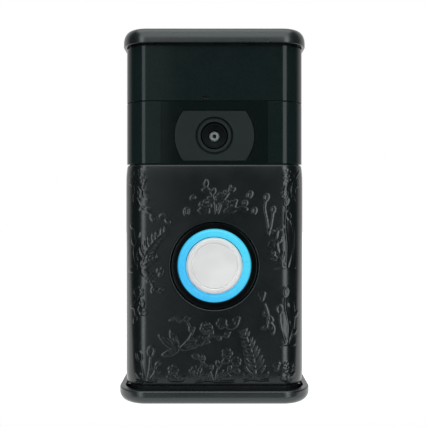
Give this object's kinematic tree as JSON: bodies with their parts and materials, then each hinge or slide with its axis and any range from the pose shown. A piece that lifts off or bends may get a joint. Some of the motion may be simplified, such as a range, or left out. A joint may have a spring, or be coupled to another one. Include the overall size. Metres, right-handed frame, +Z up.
{
  "type": "video doorbell",
  "caption": "Wall-mounted video doorbell with a lit round button, a camera behind a dark window and a botanical faceplate, held in a wall holder with a cap and a tray.",
  "frame": {"origin": "middle of the holder's flat back face, which lies against the wall", "axes": "+X to the viewer's right, +Y into the wall, +Z up"},
  "size_m": [0.0672, 0.0342, 0.1301],
  "materials": {
    "holder_satin": "satin black, very fine texture",
    "screw_steel": "blackened steel",
    "housing_black": "moulded black",
    "seal_rubber": "soft",
    "face_satin": "satin black moulding with a raised botanical line pattern",
    "gloss_black": "polished black",
    "smoked_window": "polished, almost opaque smoked window",
    "camera_grey": "satin dark grey",
    "lens_black": "matt black",
    "lens_ring": "satin grey",
    "optical_glass": "coated, clear",
    "filter_glass": "coated filter glass",
    "tinned_metal": "tinned sheet",
    "bezel_black": "black, low gloss",
    "board_green": "green solder mask over fibreglass",
    "light_blue": "translucent diffuser lit cyan blue from behind",
    "natural_plastic": "unpainted nylon",
    "button_white": "satin off-white",
    "battery_wrap": "shrink-wrapped cell pack",
    "setup_orange": "moulded orange",
    "brass": "plain"
  },
  "bodies": {
    "unit_in_holder": {"holder_frame": "holder_satin", "top_cap": "holder_satin", "cap_screw_left": "screw_steel", "cap_screw_right": "screw_steel", "lock_screw_left": "screw_steel", "lock_screw_right": "screw_steel", "housing_screw_upper_left": "screw_steel", "housing_screw_upper_right": "screw_steel", "housing_screw_lower_left": "screw_steel", "housing_screw_lower_right": "screw_steel", "rear_housing": "housing_black", "front_housing": "housing_black", "lens_holder": "housing_black", "speaker_frame": "housing_black", "button_guide": "housing_black", "housing_seal": "seal_rubber", "faceplate": "face_satin", "motion_lens": "gloss_black", "camera_surround": "gloss_black", "camera_window": "smoked_window", "camera_plate": "camera_grey", "lens_barrel": "lens_black", "lens_retainer": "lens_ring", "front_lens": "optical_glass", "filter_actuator": "tinned_metal", "motion_sensor_left": "tinned_metal", "motion_sensor_right": "tinned_metal", "microphone": "tinned_metal", "speaker_magnet": "tinned_metal", "button_spring": "tinned_metal", "button_switch": "tinned_metal", "processor_shield": "tinned_metal", "usb_port": "tinned_metal", "setup_switch": "tinned_metal", "image_sensor": "bezel_black", "ir_led_left": "bezel_black", "ir_led_right": "bezel_black", "button_bezel": "bezel_black", "camera_board": "board_green", "ir_board": "board_green", "motion_board": "board_green", "ring_board": "board_green", "main_board": "board_green", "power_board": "board_green", "light_ring": "light_blue", "ring_light_1": "natural_plastic", "ring_light_2": "natural_plastic", "ring_light_3": "natural_plastic", "ring_light_4": "natural_plastic", "battery": "battery_wrap", "terminal_bar": "brass", "terminal_screw_left": "brass", "terminal_screw_right": "brass"},
    "button": {"button_cap": "button_white", "button_stem": "natural_plastic", "switch_plunger": "bezel_black"},
    "setup_key": {"setup_button": "setup_orange"},
    "filter": {"filter_slide": "lens_black", "infrared_filter": "filter_glass"},
    "cone": {"speaker_cone": "seal_rubber"}
  },
  "joints": [
    {"name": "button_press", "type": "slide", "parent": "unit_in_holder", "child": "button", "axis": [0, 1, 0], "range_m": [0, 0.0008], "stiffness_N_per_m": 900, "springref_m": -0.0012, "deforming": ["button_spring"]},
    {"name": "setup_press", "type": "slide", "parent": "unit_in_holder", "child": "setup_key", "axis": [0, -1, 0], "range_m": [0, 0.0006], "stiffness_N_per_m": 700, "springref_m": -0.0008},
    {"name": "filter_shift", "type": "slide", "parent": "unit_in_holder", "child": "filter", "axis": [-1, 0, 0], "range_m": [0, 0.006]},
    {"name": "cone_travel", "type": "slide", "parent": "unit_in_holder", "child": "cone", "axis": [0, 0, 1], "range_m": [-0.0004, 0.0004], "stiffness_N_per_m": 600}
  ]
}
